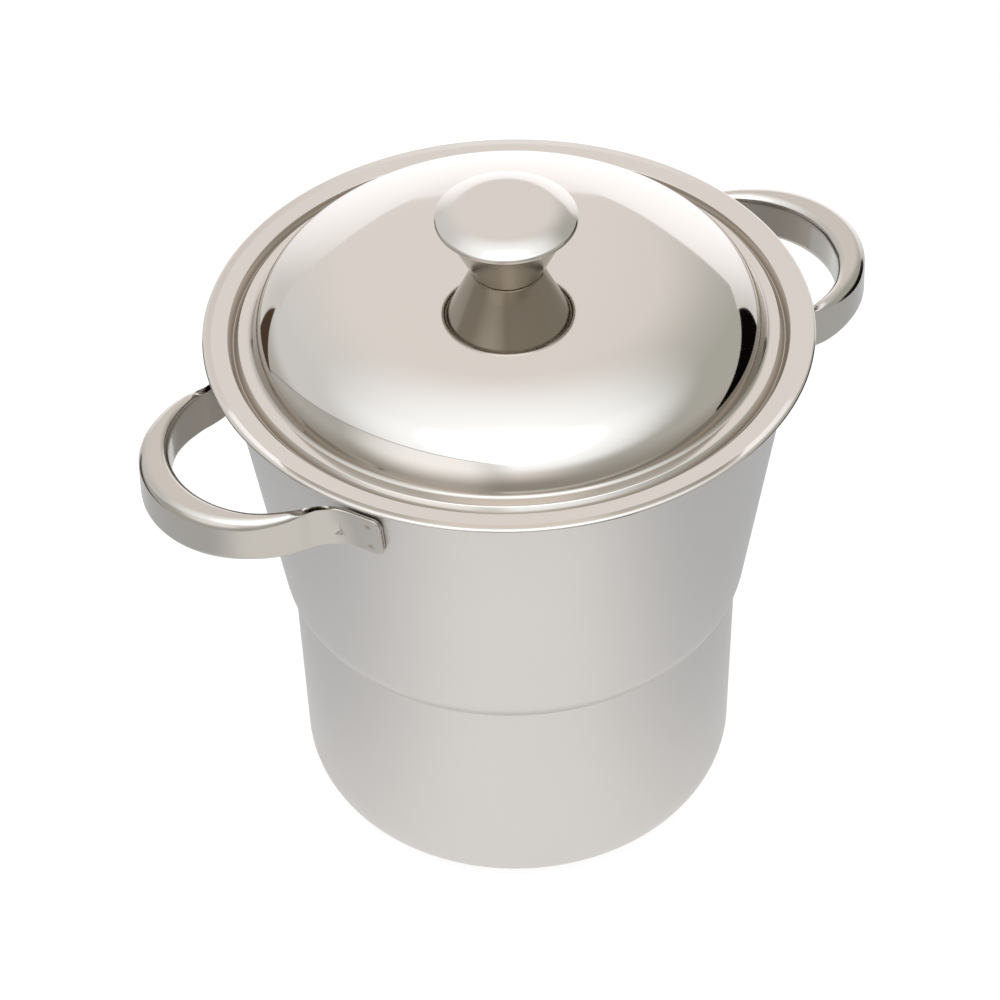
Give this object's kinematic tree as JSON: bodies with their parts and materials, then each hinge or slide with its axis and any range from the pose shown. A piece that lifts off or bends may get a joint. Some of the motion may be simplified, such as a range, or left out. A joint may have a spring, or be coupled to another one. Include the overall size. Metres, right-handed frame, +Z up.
{
  "type": "ice bucket",
  "caption": "Tapered steel ice bucket with a stepped wall, side bow handles of flattened tube, and a loose domed lid lifted by a capped cone knob.",
  "frame": {"origin": "middle of the flat base, on the surface the bucket stands on", "axes": "+Z up along the bucket's axis, +X through the middle of the right-hand handle, +Y square to both"},
  "size_m": [0.264, 0.2, 0.2398],
  "materials": {
    "satin_steel": "satin",
    "polished_steel": "polished",
    "plain_steel": "plain"
  },
  "bodies": {
    "bucket": {"bucket_shell": "satin_steel", "handle_left": "polished_steel", "handle_right": "polished_steel", "handle_spot_welds": "satin_steel"},
    "lid": {"lid_shell": "polished_steel", "knob_cone": "polished_steel", "knob_cap": "polished_steel", "knob_nut": "plain_steel", "knob_screw": "plain_steel", "screw_washer": "plain_steel"}
  },
  "joints": [
    {"name": "lid_lift", "type": "slide", "parent": "bucket", "child": "lid", "axis": [0, 0, 1], "range_m": [0, 0.12]}
  ]
}
